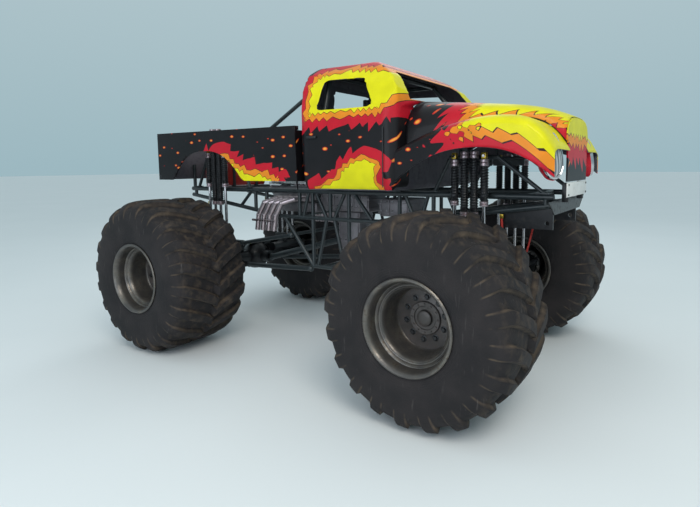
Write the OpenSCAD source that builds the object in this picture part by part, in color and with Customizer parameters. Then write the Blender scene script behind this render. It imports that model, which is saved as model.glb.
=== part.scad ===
// Monster truck with a 1940s style pickup body on a tube chassis.
// +X forward, +Y left, +Z up, millimetres. The origin is on the ground,
// halfway between the axles.

/* [Wheels] */
// Distance between the two axles
wheelbase = 3353; // [3100:1:3600]
// Distance between the tyre centre planes of one axle
track = 2648; // [2500:1:2800]
// Outer diameter of a tyre over its lugs
tyre_d = 1676; // [1560:1:1720]
// Width of a tyre
tyre_w = 930; // [820:1:980]
// Thickness of the tyre's carcass
tyre_wall = 42; // [30:1:60]
// Outer diameter of the rim's flange
rim_d = 756; // [680:1:800]
// Distance of the wheel disc outboard of the tyre's centre plane
disc_offset = 96; // [60:1:130]
// Diameter of the planetary hub's drum
hub_d = 370; // [320:1:400]
// Diameter of the hub's outer ring
hub_ring_d = 260; // [220:1:300]

/* [Axles and steering] */
// Distance of each kingpin from the middle plane
kingpin_y = 970; // [940:1:1000]
// Diameter of a kingpin
kingpin_d = 56; // [40:1:64]
// Diameter of the axle tube
axle_d = 168; // [140:1:190]
// Diameter of the differential housing
diff_d = 360; // [320:1:380]
// Length of a steering arm, kingpin to rod pin
arm_len = 200; // [180:1:210]
// Diameter of a tie rod
tie_rod_d = 44; // [36:1:50]
// Diameter of the steering cylinder
ram_d = 110; // [90:1:120]
// Diameter of the steering cylinder's rod
ram_rod_d = 44; // [36:1:50]
// Radial play of a pin or shaft in its bore
play = 0.1; // [0.05:0.01:0.3]
// Gap kept between pieces that move past each other
gap = 6; // [5:1:12]

/* [Suspension] */
// Distance of the shock absorbers from the middle plane
shock_y = 600; // [570:1:630]
// Diameter of a shock absorber's body
shock_d = 84; // [70:1:86]
// Diameter of a suspension link
link_d = 60; // [48:1:70]

/* [Chassis] */
// Distance of the side trusses from the middle plane
frame_y = 480; // [460:1:500]
// Diameter of the main rails
rail_d = 54; // [44:1:60]
// Diameter of the posts
post_d = 46; // [38:1:52]
// Diameter of the diagonals
brace_d = 38; // [30:1:44]
// Height of the top rails' centre line
rail_z = 1748; // [1740:1:1752]
// Height of the middle rails' centre line
mid_z = 1450; // [1430:1:1470]
// Height of the belly rails' centre line
belly_z = 900; // [880:1:940]
// Half the length of the belly
belly_x = 250; // [230:1:280]
// Distance of the rear posts behind the origin
frame_rear = 2290; // [2250:1:2300]
// Distance of the front posts ahead of the origin
frame_front = 2400; // [2380:1:2410]
// Wall of the body panels
panel_t = 14; // [8:1:20]

/* [Body] */
// Half width of the body over its fenders and bed sides
body_y = 970; // [940:1:1000]
// Height of the bed's top rail
bed_top = 2437; // [2400:1:2480]
// Height of the bed side's lower edge
bed_low = 1875; // [1850:1:1900]
// Distance of the bed's rear end behind the origin
bed_rear = 2300; // [2250:1:2340]
// Height of the cab's floor
cab_low = 1790; // [1788:1:1800]
// Height of the roof's crown
roof_z = 3100; // [3060:1:3140]
// Distance of the cowl seam ahead of the origin
cowl_x = 1110; // [1100:1:1120]
// Distance of the nose ahead of the origin
nose_x = 2490; // [2470:1:2500]
// Half width of the nose panel
nose_y = 420; // [400:1:440]

/* [Hidden] */
$fn = 32;

axle_x = wheelbase / 2;
axle_z = tyre_d / 2;
wheel_y = track / 2;
tyre_r = tyre_d / 2;
rim_r = rim_d / 2;
rim_half = tyre_w / 2 - 8;
bead_r = rim_r - 36;
barrel_t = 14;
disc_t = 18;
spindle_d = 130;
flange_y = 96;
flange_t = 50;
knuckle_h = 240;
ear_t = 45;
ear_d = 150;
pin_d = 24;
eye_d = 56;
eye_t = 34;
arm_t = 46;
arm_z = 60;
eye_z = arm_z + arm_t / 2 + gap;
rod_z = eye_z + eye_t / 2;
ram_y0 = 130;
ram_y1 = 600;
ram_drift = 9.7;
seat_gap = 0.3;
knee_x = belly_x + 480;
nose_end = diff_d / 2 + 90;
lug_x = 190;
ball_d = 70;
low_out = (post_d + 4 + ball_d) / 2 + 0.3;
case_x = 160;
case_z = 1150;
pipe_d = 62;
shock_seat = 178;
seat_z = cab_low + panel_t + seat_gap;
bed_in = body_y - panel_t - seat_gap;
hood_front = nose_x - 19;
tow_t = 22;
tow_x = 2340;
tow_z = 1520;
front_rise = 230;
rear_rise = 235;
steel_dark = [0.12, 0.14, 0.15];
steel_black = [0.05, 0.05, 0.055];
silver = [0.62, 0.6, 0.6];

// ---------------------------------------------------------------- helpers

// A straight round bar from point a to point b
module bar(a, b, d) {
  v = b - a;
  l = norm(v);
  translate(a) rotate([0, acos(v[2] / l), atan2(v[1], v[0])]) rotate(33) cylinder(h = l, d = d);
}

// A bar whose ends stop short of the centre lines that it is welded to
module strut(a, b, d) {
  e = unit(b - a) * 6;
  bar(a + e, b - e, d);
}

// Bars through a list of points, with a weld ball at each inner corner
module bent_bar(pts, d) {
  for (i = [0 : len(pts) - 2]) bar(pts[i], pts[i + 1], d);
  if (len(pts) > 2) for (i = [1 : len(pts) - 2]) translate(pts[i]) rotate([35, 50, 0]) sphere(d = d + 4);
}

// The same children on both sides of the middle plane
module both_sides() {
  children();
  mirror([0, 1, 0]) children();
}

// A flat outline in X and Z, pulled from y0 to y1
module side_plate(pts, y0, y1) {
  translate([0, y1, 0]) rotate([90, 0, 0]) linear_extrude(y1 - y0) polygon(pts);
}

// A flat outline in Y and Z, pulled from x0 to x1
module front_plate(pts, x0, x1) {
  translate([x0, 0, 0]) rotate([90, 0, 90]) linear_extrude(x1 - x0) polygon(pts);
}

function unit(v) = v / norm(v);

// An outline moved inwards by t, its corners kept sharp; points run counterclockwise
function inset(p, t) = let (n = len(p)) [
  for (i = [0 : n - 1])
    let (u = unit(p[i] - p[(i + n - 1) % n]), v = unit(p[(i + 1) % n] - p[i]),
         nu = [-u[1], u[0]], nv = [-v[1], v[0]])
    p[i] + (nu + nv) * t / (1 + nu * nv)
];

// A polygon with each corner cut by a round of radius r
function rounded(p, r, n = 4) = let (m = len(p)) [
  for (i = [0 : m - 1])
    let (b = p[i], u = unit(p[(i + m - 1) % m] - b), v = unit(p[(i + 1) % m] - b),
         half = acos(u * v) / 2, d = r / tan(half), c = b + unit(u + v) * r / sin(half),
         s = b + u * d - c, e = b + v * d - c)
    for (k = [0 : n]) c + r * unit(s * (n - k) / n + e * k / n)
];

// A closed shell between a grid of outer points and the grid moved inwards by t
module sheet(g, t) {
  n = len(g);
  m = len(g[0]);
  inner = [
    for (i = [0 : n - 1]) [
      for (j = [0 : m - 1])
        let (du = g[min(i + 1, n - 1)][j] - g[max(i - 1, 0)][j],
             dv = g[i][min(j + 1, m - 1)] - g[i][max(j - 1, 0)])
        g[i][j] - unit(cross(du, dv)) * t
    ]
  ];
  pts = concat([for (r = g) each r], [for (r = inner) each r]);
  q = n * m;
  cells = [for (i = [0 : n - 2], j = [0 : m - 2]) [i * m + j, (i + 1) * m + j, (i + 1) * m + j + 1, i * m + j + 1]];
  rim = concat([for (j = [0 : m - 2]) [j, j + 1]],
               [for (i = [0 : n - 2]) [i * m + m - 1, (i + 1) * m + m - 1]],
               [for (j = [m - 2 : -1 : 0]) [(n - 1) * m + j + 1, (n - 1) * m + j]],
               [for (i = [n - 2 : -1 : 0]) [(i + 1) * m, i * m]]);
  polyhedron(pts, concat(
    [for (c = cells) each [[c[0], c[2], c[1]], [c[0], c[3], c[2]]]],
    [for (c = cells) each [[c[0] + q, c[1] + q, c[2] + q], [c[0] + q, c[2] + q, c[3] + q]]],
    [for (e = rim) each [[e[1], e[0], e[0] + q], [e[1], e[0] + q, e[1] + q]]]));
}

// Children built for the left front wheel, moved to wheel end (sx, sy)
module at_wheel(sx, sy) {
  translate([sx * axle_x, sy * wheel_y, axle_z]) mirror([0, sy < 0 ? 1 : 0, 0]) children();
}

// Children built around the left kingpin, moved to wheel end (sx, sy)
module at_kingpin(sx, sy) {
  translate([sx * axle_x, sy * kingpin_y, axle_z]) mirror([0, sy < 0 ? 1 : 0, 0]) children();
}

// A shape drawn as radius and outboard distance, turned about the wheel's axis
module turned(pts) {
  rotate([-90, 0, 0]) rotate_extrude($fn = 96) polygon(pts);
}

// ---------------------------------------------------------------- wheels

module tyre(sx, sy) {
  h = tyre_w / 2;
  outer = [
    [bead_r + 0.3, h - 44], [rim_r + 4, h - 30], [rim_r + 40, h - 8], [rim_r + 130, h],
    [tyre_r - 210, h - 4], [tyre_r - 110, h - 24], [tyre_r - 42, h - 60], [tyre_r - 14, h - 110],
    [tyre_r, h - 220]
  ];
  inner = [
    [bead_r + 0.3, h - 44 - tyre_wall], [rim_r + 30, h - 30 - tyre_wall], [rim_r + 130, h - tyre_wall],
    [tyre_r - 210, h - 4 - tyre_wall], [tyre_r - 150, h - 70], [tyre_r - 105, h - 160], [tyre_r - 95, h - 240]
  ];
  upper = concat([for (p = outer) p], [for (i = [len(outer) - 1 : -1 : 0]) [outer[i][0], -outer[i][1]]]);
  lower = concat([for (p = inner) [p[0], -p[1]]], [for (i = [len(inner) - 1 : -1 : 0]) inner[i]]);
  color([0.08, 0.075, 0.07]) at_wheel(sx, sy) turned(concat(upper, lower));
}

module rim(sx, sy) {
  h = rim_half;
  b = barrel_t;
  drop = bead_r - 60;
  shell = [
    [bead_r, h - 12], [rim_r - 6, h - 12], [rim_r, h - 6], [rim_r, h], [bead_r - b, h - 2],
    [bead_r - b, h - 110], [drop - b, h - 150], [drop - b, disc_offset], [hub_ring_d / 2, disc_offset],
    [hub_ring_d / 2, disc_offset + 30], [62, disc_offset + 34], [62, disc_offset + 46], [0, disc_offset + 46],
    [0, disc_offset - 60], [spindle_d / 2 + play, disc_offset - 60], [spindle_d / 2 + play, -hub_d / 2 + 20],
    [hub_d / 2, -hub_d / 2 + 20], [hub_d / 2, disc_offset - disc_t], [drop - b, disc_offset - disc_t],
    [drop - b, -60], [bead_r - b, -110], [bead_r - b, -h + 2], [rim_r, -h], [rim_r, -h + 6],
    [rim_r - 6, -h + 12], [bead_r, -h + 12], [bead_r, -100], [drop, -50], [drop, h - 155], [bead_r, h - 106]
  ];
  color([0.36, 0.33, 0.3]) at_wheel(sx, sy) turned(shell);
}

// ---------------------------------------------------------------- axles and steering

// Kingpin body, spindle and steering arms of one wheel end
module knuckle(sx, sy) {
  spindle_end = wheel_y - kingpin_y + disc_offset - 60 - gap;
  color(steel_black) at_kingpin(sx, sy) {
    cylinder(h = knuckle_h, d = 150, center = true);
    cylinder(h = knuckle_h + 2 * (gap + ear_t) + 12, d = kingpin_d, center = true);
    rotate([-90, 0, 0]) cylinder(h = spindle_end, d = spindle_d);
    translate([0, flange_y, 0]) rotate([-90, 0, 0]) cylinder(h = flange_t, d = 300);
    steering_arm(sx);
    if (sy > 0) steering_arm(-sx);
  }
}

// Arm from the kingpin body to its rod pin, towards side s along X
module steering_arm(s) {
  translate([s * arm_len / 2, 0, arm_z]) cube([arm_len, 60, arm_t], center = true);
  translate([s * arm_len, 0, arm_z]) {
    cylinder(h = arm_t, d = 60, center = true);
    cylinder(h = arm_t / 2 + gap + eye_t + 10, d = pin_d);
  }
}

module axle(s) {
  tube_end = kingpin_y - 150;
  yoke_h = knuckle_h + 2 * (gap + ear_t);
  color(steel_black) translate([s * axle_x, 0, axle_z]) difference() {
    union() {
      rotate([90, 0, 0]) cylinder(h = 2 * tube_end, d = axle_d, center = true);
      rotate([90, 20, 0]) sphere(d = diff_d, $fn = 48);
      rotate([0, 90 * s, 0]) rotate(33) translate([0, 0, -nose_end]) cylinder(h = nose_end, d = 150);
      both_sides() {
        translate([0, tube_end, 0]) cube([150, 50, yoke_h], center = true);
        for (k = [-1, 1]) translate([0, kingpin_y, k * (yoke_h - ear_t) / 2]) {
          rotate(33) cylinder(h = ear_t, d = ear_d, center = true);
          translate([0, -(kingpin_y - tube_end) / 2, 0]) cube([ear_d - 4, kingpin_y - tube_end, ear_t], center = true);
        }
        for (y = [250, 500]) translate([0, y, 130]) cube([90, 16, 130], center = true);
        translate([-165, shock_y - 22, shock_seat - 44]) cube([330, 44, 44]);
        translate([-100, shock_y - 22, 60]) cube([200, 44, 90]);
        translate([-s * lug_x / 2, 330, -60]) cube([lug_x, 60, 60], center = true);
        translate([-s * lug_x / 2, 420, 232]) cube([lug_x, 60, 60], center = true);
      }
      translate([0, 0, 190]) cube([120, 1080, 26], center = true);
      ram_barrel(-s);
    }
    both_sides() translate([0, kingpin_y, 0]) cylinder(h = 2 * knuckle_h, d = kingpin_d + 2 * play, center = true);
    translate([-s * (arm_len - ram_drift), ram_y0 + 40, rod_z]) rotate([-90, 0, 0])
      cylinder(h = ram_y1, d = ram_rod_d + 2 * play);
  }
}

// Steering cylinder's barrel and its two clamps, towards side s along X
module ram_barrel(s) {
  x = s * (arm_len - ram_drift);
  translate([x, ram_y0, rod_z]) rotate([-90, 0, 0]) cylinder(h = ram_y1 - ram_y0, d = ram_d);
  for (y = [ram_y0 + 60, ram_y1 - 80]) translate([x / 2, y, rod_z]) cube([abs(x), 40, 60], center = true);
}

module ram_rod(s) {
  color(silver) translate([s * (axle_x - arm_len + ram_drift), 0, axle_z + rod_z]) difference() {
    union() {
      translate([0, ram_y0 + 140, 0]) rotate([-90, 0, 0]) cylinder(h = kingpin_y - 30 - ram_y0 - 140, d = ram_rod_d - 10);
      translate([0, ram_y0 + 140, 0]) rotate([-90, 0, 0]) cylinder(h = kingpin_y - 150 - ram_y0 - 140, d = ram_rod_d);
      translate([0, kingpin_y, 0]) cylinder(h = eye_t, d = 76, center = true);
    }
    translate([0, kingpin_y, 0]) cylinder(h = 2 * eye_t, d = pin_d + 24, center = true);
  }
}

module tie_rod(s) {
  color(steel_black) translate([s * (axle_x + arm_len), 0, axle_z]) difference() {
    union() {
      translate([0, 0, rod_z]) rotate([90, 0, 0]) cylinder(h = 2 * (kingpin_y - eye_d / 2 + 4), d = tie_rod_d - 12, center = true);
      translate([0, 0, rod_z]) rotate([90, 0, 0]) cylinder(h = 2 * (kingpin_y - 120), d = tie_rod_d, center = true);
      both_sides() translate([0, kingpin_y, eye_z]) cylinder(h = eye_t, d = eye_d);
    }
    both_sides() translate([0, kingpin_y, eye_z - 1]) cylinder(h = eye_t + 2, d = pin_d + 2 * play);
  }
}

// ---------------------------------------------------------------- suspension

// A link between two rod ends: balls of diameter ball_d at both ends
module link(a, b, d) {
  bar(a, b, d);
  for (p = [a, b]) translate(p) rotate([35, 50, 0]) sphere(d = ball_d);
}

// Point beside the slanted belly tube at height z, where a rod end is bolted
function belly_side(z) = let (u = unit([knee_x - 60 - belly_x, mid_z - 8 - belly_z]),
                              k = (z - belly_z) / u[1], o = (post_d + ball_d) / 2 + seat_gap)
  [belly_x + u[0] * k + u[1] * o, z - u[0] * o];

module links(s) {
  up = belly_side(1270);
  low = [belly_x + 0.8 * low_out, belly_z - 0.6 * low_out];
  color(steel_dark) both_sides() {
    link([s * (axle_x - lug_x - ball_d / 2 - seat_gap), 330, axle_z - 60], [s * low[0], frame_y, low[1]], link_d);
    link([s * (axle_x - lug_x - ball_d / 2 - seat_gap), 420, axle_z + 232], [s * up[0], frame_y, up[1]], link_d - 12);
  }
}

// One shock absorber: dark body up to z1 and a bright rod down to z0
module shock(x, y, z0, z1, body, d) {
  translate([x, y, z1 - body]) cylinder(h = body, d = d);
  translate([x, y, z0]) cylinder(h = z1 - body - z0 + 1, d = d / 2.4);
}

module shocks(s, long_top, short_top) {
  z0 = axle_z + shock_seat + seat_gap;
  color([0.2, 0.2, 0.21]) both_sides() for (k = [-1, 1]) {
    shock(s * axle_x + k * 47, shock_y, z0, long_top, long_top - 1560, shock_d);
    shock(s * axle_x + k * 142, shock_y, z0, short_top, 420, shock_d - 4);
  }
}

module drive_shafts() {
  x0 = case_x + 45 + seat_gap;
  x1 = axle_x - nose_end - 45 - seat_gap;
  color(steel_dark) for (s = [-1, 1]) {
    bar([s * x1, 0, axle_z], [s * x0, 0, case_z], 78);
    for (p = [[s * x1, 0, axle_z], [s * x0, 0, case_z]]) translate(p) rotate([35, 50, 0]) sphere(d = 90);
  }
}

// ---------------------------------------------------------------- drive line

module engine() {
  z0 = mid_z + brace_d / 2 + seat_gap;
  color(steel_black) translate([-1180, -290, z0]) cube([800, 580, 2040 - z0]);
}

module gearbox() {
  z0 = mid_z + brace_d / 2 + seat_gap;
  color(silver) {
    translate([-380 + seat_gap, -200, 1500]) cube([700, 400, 210]);
    translate([450, -220, z0]) cube([390, 440, 210]);
    translate([-case_x, -150, 1040]) cube([2 * case_x, 300, 470]);
  }
}

module exhaust_pipes() {
  y1 = frame_y + rail_d / 2 + pipe_d / 2 + 16;
  z1 = 1655;
  color(silver) both_sides() for (i = [0 : 3]) {
    x = -1050 + i * 90;
    difference() {
      bent_bar([[x + 310, 290 + seat_gap, z1], [x + 310, 330, z1], [x + 250, 470, z1], [x + 120, y1 - 8, z1 - 50],
                [x + 30, y1, 1460], [x, y1, 1280]], pipe_d);
      translate([x, y1, 1280]) rotate([0, atan(30 / 180), 0]) translate([0, 0, -10]) cylinder(h = 120, d = pipe_d - 8);
    }
  }
}

// ---------------------------------------------------------------- chassis

// Height of the lower rails' centre line at x
function low_z(x) = mid_z + max(0, abs(x) - knee_x) * (x > 0 ? front_rise : rear_rise) / (frame_front - knee_x);

module top_rails() {
  color(steel_dark) both_sides() bar([-frame_rear, frame_y, rail_z], [frame_front, frame_y, rail_z], rail_d);
}

module lower_rails() {
  y = frame_y;
  color(steel_dark) both_sides() {
    bent_bar([[-frame_rear, y, low_z(-frame_rear)], [-knee_x, y, mid_z], [knee_x, y, mid_z],
              [frame_front, y, low_z(frame_front)]], post_d + 2);
  }
}

// The V of bars under each lower rail, cut to it
module belly_rails() {
  y = frame_y;
  color(steel_dark) difference() {
    both_sides() bent_bar([[-knee_x + 60, y, mid_z - 8], [-belly_x, y, belly_z], [belly_x, y, belly_z],
                           [knee_x - 60, y, mid_z - 8]], post_d);
    lower_rails();
  }
}

// Posts and diagonals of both side trusses, each cut to the rails that it is welded to
module chassis_braces() {
  y = frame_y;
  color(steel_dark) difference() {
    both_sides() {
      for (x = [-2230, -1140, -knee_x - 225, -440, -belly_x, 0, belly_x, 880, 1260, 2330])
        strut([x, y, low_z(x)], [x, y, rail_z], brace_d + 4);
      for (p = [[-300, -390], [-205, -50], [205, 50], [310, 550], [940, 1050], [1205, 1130], [-1190, -1400]])
        strut([p[0], y, rail_z], [p[1], y, low_z(p[1])], brace_d);
      for (s = [-1, 1]) {
        strut([s * belly_x, y, belly_z], [s * belly_x, y, mid_z], brace_d + 4);
        strut([s * (belly_x - 60), y, belly_z], [s * 50, y, mid_z], brace_d);
      }
      bar([-frame_rear + 40, y, rail_z], [-frame_rear + 40, y, 2060], post_d - 2);
      for (x = [250, 850]) translate([x - 50, y - 20, rail_z]) cube([100, 40, cab_low - rail_z - seat_gap]);
    }
    top_rails();
    lower_rails();
    belly_rails();
  }
}

module cross_members() {
  color(steel_dark) difference() {
    union() {
      for (x = [-2150, -1830, -1330, 1330, 2150]) bar([x, -frame_y, rail_z], [x, frame_y, rail_z], post_d);
      for (x = [-belly_x + 120, belly_x - 120]) bar([x, -frame_y, belly_z], [x, frame_y, belly_z], brace_d);
      for (x = [-600, 600]) bar([x, -frame_y, mid_z], [x, frame_y, mid_z], brace_d);
    }
    top_rails();
    lower_rails();
    belly_rails();
  }
}

// Foot plate of a tower, lying on the top rail
module foot(x) {
  translate([x, frame_y, rail_z + rail_d / 2 + seat_gap + 4]) cube([90, 60, 8], center = true);
}

// Shock tower: two legs on foot plates, joined by a bar at height z from x1 to x2
module tower(x0, x1, x2, x3, z) {
  z0 = rail_z + rail_d / 2 + seat_gap;
  difference() {
    bent_bar([[x0, frame_y, z0 - 4], [x1, frame_y, z], [x2, frame_y, z], [x3, frame_y, z0 - 4]], brace_d);
    translate([-3000, frame_y - 50, z0 - 60]) cube([6000, 100, 60]);
  }
  foot(x0);
  foot(x3);
}

// Plate under a tower's bar, with one stub to each shock absorber at offset k and height z
module shock_plate(x, z0, z1, stubs) {
  translate([x - 170, frame_y - 6, z0]) cube([340, 12, z1 - z0]);
  for (p = stubs) translate([x + p[0], frame_y, p[1]]) rotate([-90, 0, 0])
    cylinder(h = shock_y - frame_y - p[2] / 2 - seat_gap, d = 30);
}

// Outrigger from a tower's bar to a body side whose inner face is at half width y
module outrigger(x, z0, z1, y) {
  bent_bar([[x, frame_y, z0], [x, frame_y, z1], [x, y - seat_gap, z1]], 30);
}

module front_towers() {
  z = 2100;
  color(steel_dark) both_sides() {
    tower(1270, 1440, 1900, 2330, z);
    shock_plate(axle_x, z - 80, z, [for (k = [-1, 1]) each [[k * 47, z - 50, shock_d], [k * 142, z - 50, shock_d - 4]]]);
    outrigger(1540, z, 2215, body_y - panel_t);
  }
}

module rear_towers() {
  z = 2370;
  color(steel_dark) both_sides() {
    tower(-2165, -1880, -1470, -1230, z);
    shock_plate(-axle_x, 2110, z, [for (k = [-1, 1]) each [[k * 47, z - 40, shock_d], [k * 142, 2150, shock_d - 4]]]);
    for (x = [-1860, -1490]) bar([x, frame_y, z], [x, body_y - panel_t - seat_gap, z], 30);
  }
}

module cage_braces(d) {
  both_sides() bar([170, 660, 2935], [-1400, frame_y, 2160], d);
}

module roll_cage() {
  d = 50;
  floor_z = cab_low + panel_t + seat_gap;
  main = [170, 660, 2945];
  front = [700, 620, 2940];
  color(steel_dark) difference() {
    union() {
      both_sides() {
        bent_bar([[main[0], 760, floor_z], [main[0], 760, 2600], main], d);
        bent_bar([[995, 700, floor_z], [995, 700, 2560], front], d);
        bar(front, main, d);
        for (p = [main, front]) translate(p) rotate([35, 50, 0]) sphere(d = d + 10);
      }
      for (p = [main, front]) bar([p[0], -p[1], p[2]], p, d);
    }
    rear_towers();
  }
}

// Long stays from the main hoop down to the rear towers, cut to both
module cage_stays() {
  color(steel_dark) difference() {
    cage_braces(44);
    rear_towers();
    roll_cage();
  }
}

module front_bumper() {
  tow_y = frame_y - post_d / 2 - 1 - seat_gap;
  color(steel_black) {
    difference() {
      both_sides() translate([1960, tow_y - tow_t, 1465]) cube([430, tow_t, 180]);
      translate([tow_x, 0, tow_z]) rotate([90, 0, 0]) cylinder(h = 2 * body_y, d = 40, center = true);
    }
    front_plate([[-700, 1720], [-500, 1600], [500, 1600], [700, 1720]], frame_front + 3.6, frame_front + 13.6);
  }
}

// ---------------------------------------------------------------- body

cab_side = [
  [60, cab_low], [cowl_x - 70, cab_low], [cowl_x, cab_low + 70], [cowl_x, 2560], [1170, 2640], [1010, 2863],
  [850, 2975], [670, 3055], [450, roof_z - 6], [240, roof_z], [90, 3075], [0, 3010], [-30, 2900],
  [-20, 2470], [30, cab_low + 60]
];
cab_front = concat(
  [for (p = [[920, cab_low], [965, 2050], [965, 2460], [940, 2600], [885, 2800], [800, 2940], [650, 3030], [400, 3080], [150, roof_z]]) p],
  [for (p = [[150, roof_z], [400, 3080], [650, 3030], [800, 2940], [885, 2800], [940, 2600], [965, 2460], [965, 2050], [920, cab_low]]) [-p[0], p[1]]]);
cab_plan = [
  [80, -965], [700, -965], [1000, -950], [1100, -900], [1180, -500], [1200, 0], [1180, 500], [1100, 900], [1000, 950],
  [700, 965], [80, 965], [0, 930], [-30, 850], [-35, 0], [-30, -850], [0, -930]
];

module cab_volume(t) {
  intersection() {
    side_plate(inset(cab_side, t), -1100, 1100);
    front_plate(inset(cab_front, t), -200, 1400);
    translate([0, 0, 1500]) linear_extrude(2000) polygon(inset(cab_plan, t));
  }
}

// Outline just over the hood's rear end, which the foot of the cab is cut to
function hood_clearance() = let (x = cowl_x + 95, k = (hood_y(cowl_x) + panel_t + 8) / hood_y(x))
  [for (p = hood_section(x, 16)) [p[1] * k, p[2] + panel_t + 8]];

module cab_shell() {
  color([0.75, 0.1, 0.12]) difference() {
    cab_volume(0);
    cab_volume(panel_t);
    side_plate(rounded([[200, 2575], [865, 2575], [715, 2850], [255, 2868]], 45), -1100, 1100);
    front_plate(rounded([[-760, 2640], [760, 2640], [640, 2915], [-640, 2915]], 45), 700, 1400);
    front_plate(rounded([[-360, 2610], [360, 2610], [330, 2840], [-330, 2840]], 45), -200, 60);
    cage_braces(80);
    front_plate(concat([[hood_y(cowl_x) + panel_t + 8, 2100]], hood_clearance(),
                       [[-hood_y(cowl_x) - panel_t - 8, 2100]]), cowl_x, 1400);
  }
}

// Crown line and half width of the hood along X
function hood_z(x) = 2647 - (x - 1170) * 0.1 - pow(max(0, x - 1900) / 600, 3) * 90;
function hood_y(x) = nose_y + (760 - nose_y) * (1 - pow((x - cowl_x) / (nose_x - cowl_x), 1.3));

// Lip and upper edge of a front fender along X
function lip_z(x) = 1800 + 373 * (1 - pow(abs(x - 1870) / (x < 1870 ? 840 : 760), 2.3));
function edge_z(x) = 2348 - (x < 2000 ? 248 * pow((2000 - x) / 895, 1.8) : 122 * pow((x - 2000) / 520, 2.5));

// How much of a fender's full height and width is left at x, falling off around its front
function fender_k(x) = sqrt(1 - pow(max(0, x - 2200) / 330, 2));
function fender_h(x) = 0.3 + 0.7 * fender_k(x);
function fender_top(x) = lip_z(x) + (edge_z(x) - lip_z(x)) * fender_h(x);
function fender_inner_z(x) = fender_top(x) + 80 * fender_h(x);

// Section of the hood at x, from its left edge over the crown to its right edge
function hood_section(x, m) = [
  for (j = [0 : m])
    let (a = 180 * j / m, c = cos(a), z0 = fender_inner_z(x) + 14)
    [x, hood_y(x) * sign(c) * pow(abs(c), 0.55), z0 + (hood_z(x) - z0) * pow(sin(a), 0.75)]
];

module hood() {
  n = 14;
  x0 = cowl_x + seat_gap;
  color([0.9, 0.45, 0.1]) sheet([for (i = [0 : n]) hood_section(x0 + (hood_front - x0) * i / n, 16)], panel_t);
}

module nose_panel() {
  w = hood_y(hood_front) - 33;
  top = [for (p = hood_section(hood_front, 16)) [p[1], p[2]]];
  z0 = top[0][1];
  color(steel_black) front_plate(concat([[-w, 1880], [w, 1880], [w, z0]], top, [[-w, z0]]),
                                 hood_front + seat_gap, hood_front + seat_gap + panel_t);
}

module fender_right() {
  n = 22;
  x0 = cowl_x + seat_gap;
  g = [for (i = [0 : n]) let (x = x0 + (nose_x + 15 - x0) * i / n, yo = body_y - 90 * (1 - fender_k(x)),
                             zt = fender_top(x), h = fender_h(x)) concat(
    [[x, -yo, lip_z(x)], [x, -yo, (lip_z(x) + zt) / 2]],
    [for (a = [0 : 15 : 90]) [x, -yo + 150 * (1 - cos(a)), zt + 90 * sin(a) * h]],
    [[x, -hood_y(x), fender_inner_z(x)], [x, -hood_y(x) + 22, fender_inner_z(x)]])];
  color([0.9, 0.6, 0.1]) sheet(g, panel_t);
}

// Lower edge of the bed side over the rear wheel
function arch_z(x) = 1830 + 380 * (1 - pow(abs(x + 1420) / 620, x < -1420 ? 3 : 2.3));

module bed_side_right() {
  n = 24;
  outline = concat(
    [[-bed_rear, bed_top], [-bed_rear, bed_low], [-2040, bed_low]],
    [for (i = [1 : n - 1]) let (x = -2040 + 1240 * i / n) [x, max(bed_low, arch_z(x))]],
    [[-800, bed_low], [-60, bed_low], [-40, cab_low], [-60, bed_top]]);
  color([0.13, 0.1, 0.1]) {
    side_plate(outline, -body_y, -body_y + panel_t);
    translate([-bed_rear, -body_y, bed_top - 40]) cube([bed_rear - 60, 60, 40]);
  }
}

module tailgate() {
  color([0.13, 0.1, 0.1]) translate([-bed_rear, -bed_in, bed_low]) cube([panel_t, 2 * bed_in, bed_top - bed_low - 41]);
}

module bed_front_wall() {
  color([0.13, 0.1, 0.1]) translate([-90, -bed_in, bed_low]) cube([panel_t, 2 * bed_in, bed_top - bed_low - 41]);
}

module fuel_cell() {
  w = frame_y - 100;
  color([0.6, 0.08, 0.07]) translate([-2190, -w, rail_z + post_d / 2 + seat_gap]) cube([380, 2 * w, 430]);
}

module seat() {
  color([0.07, 0.07, 0.08]) side_plate([[300, seat_z], [760, seat_z], [760, 2060], [470, 2090], [370, 2760], [270, 2740]], -260, 260);
}

module steering_wheel() {
  color([0.07, 0.07, 0.08]) {
    translate([860, 0, 2430]) rotate([0, -60, 0]) {
      rotate_extrude() translate([170, 0]) circle(d = 26);
      cylinder(h = 12, d = 340, center = true);
    }
    bent_bar([[862, 0, 2429], [980, 0, 2365], [cowl_x - panel_t - seat_gap, 0, 2365]], 40);
  }
}

// ---------------------------------------------------------------- nodes

tyre(1, 1);  // tyre_front_left
tyre(1, -1);  // tyre_front_right
tyre(-1, 1);  // tyre_rear_left
tyre(-1, -1);  // tyre_rear_right
rim(1, 1);  // rim_front_left
rim(1, -1);  // rim_front_right
rim(-1, 1);  // rim_rear_left
rim(-1, -1);  // rim_rear_right
knuckle(1, 1);  // knuckle_front_left
knuckle(1, -1);  // knuckle_front_right
knuckle(-1, 1);  // knuckle_rear_left
knuckle(-1, -1);  // knuckle_rear_right
axle(1);  // axle_front
axle(-1);  // axle_rear
tie_rod(1);  // tie_rod_front
tie_rod(-1);  // tie_rod_rear
ram_rod(1);  // ram_rod_front
ram_rod(-1);  // ram_rod_rear
links(1);  // links_front
links(-1);  // links_rear
shocks(1, 2150, 2080);  // shocks_front
shocks(-1, 2490, 2200);  // shocks_rear
drive_shafts();
engine();
gearbox();
exhaust_pipes();
top_rails();
lower_rails();
belly_rails();
chassis_braces();
cross_members();
front_towers();
rear_towers();
roll_cage();
cage_stays();
front_bumper();
cab_shell();
hood();
nose_panel();
mirror([0, 1, 0]) fender_right();  // front_fender_left
fender_right();  // front_fender_right
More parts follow.
